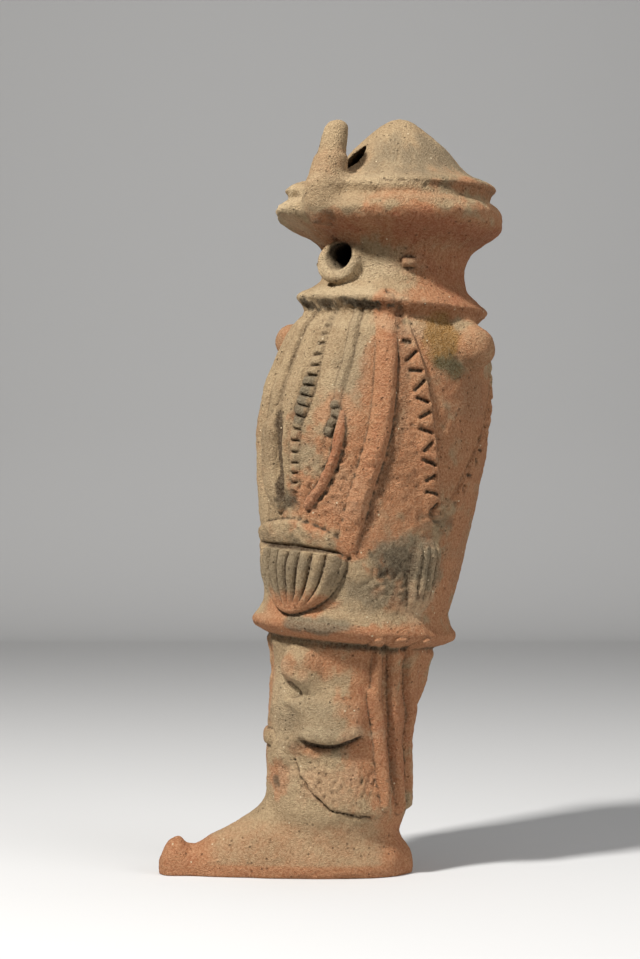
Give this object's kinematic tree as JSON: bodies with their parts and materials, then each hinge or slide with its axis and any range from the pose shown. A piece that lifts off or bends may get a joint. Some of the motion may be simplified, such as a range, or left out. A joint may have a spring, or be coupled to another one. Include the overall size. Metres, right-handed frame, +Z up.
{
  "type": "terracotta figure sculpture",
  "caption": "Tall hollow clay figure with a conical cap, open mouth, shoulder knobs and applied coils, standing on one booted foot with a curled toe.",
  "frame": {"origin": "on the sole the figure stands on, below the middle of its leg", "axes": "+Z up the figure, its front with the mouth towards -Y, its left shoulder towards +X"},
  "size_m": [0.1316, 0.1295, 0.3443],
  "materials": {
    "terracotta": "unglazed, gritty fired clay, weathered from buff to orange-pink with grey patches"
  },
  "bodies": {
    "root": {"terracotta_figure": "terracotta"}
  },
  "joints": []
}
